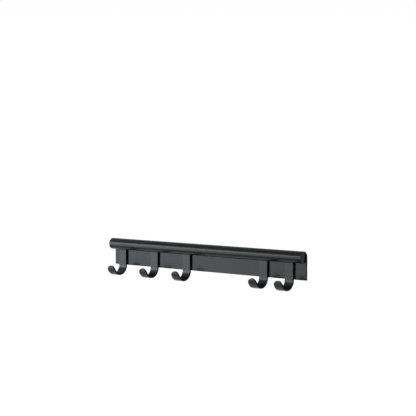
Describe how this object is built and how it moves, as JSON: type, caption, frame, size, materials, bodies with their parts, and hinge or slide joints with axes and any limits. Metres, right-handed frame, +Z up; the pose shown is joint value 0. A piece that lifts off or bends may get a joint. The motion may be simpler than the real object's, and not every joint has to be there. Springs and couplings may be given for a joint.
{
  "type": "hook rack",
  "caption": "Satin black wall rail with a round rolled top edge and flat strip hooks that slide along it, for hanging coats, towels or bags.",
  "frame": {"origin": "on the wall face of the plate, midway between the two screw holes", "axes": "+X along the rail, to the right as seen from the front; +Y into the wall; +Z up"},
  "size_m": [0.4454, 0.0406, 0.0687],
  "materials": {
    "rail_coat": "satin",
    "hook_coat": "satin",
    "plug_plastic": "matte"
  },
  "bodies": {
    "rack": {"rail": "rail_coat", "end_plug_left": "plug_plastic", "end_plug_right": "plug_plastic"},
    "hook_1": {"hook_1": "hook_coat"},
    "hook_2": {"hook_2": "hook_coat"},
    "hook_3": {"hook_3": "hook_coat"},
    "hook_4": {"hook_4": "hook_coat"},
    "hook_5": {"hook_5": "hook_coat"}
  },
  "joints": [
    {"name": "hook_1_slide", "type": "slide", "parent": "rack", "child": "hook_1", "axis": [1, 0, 0], "range_m": [-0.00415, 0.0313]},
    {"name": "hook_2_slide", "type": "slide", "parent": "rack", "child": "hook_2", "axis": [1, 0, 0], "range_m": [-0.0313, 0.03045]},
    {"name": "hook_3_slide", "type": "slide", "parent": "rack", "child": "hook_3", "axis": [1, 0, 0], "range_m": [-0.03045, 0.0786]},
    {"name": "hook_4_slide", "type": "slide", "parent": "rack", "child": "hook_4", "axis": [1, 0, 0], "range_m": [-0.0786, 0.0185]},
    {"name": "hook_5_slide", "type": "slide", "parent": "rack", "child": "hook_5", "axis": [1, 0, 0], "range_m": [-0.0185, 0.01555]}
  ]
}
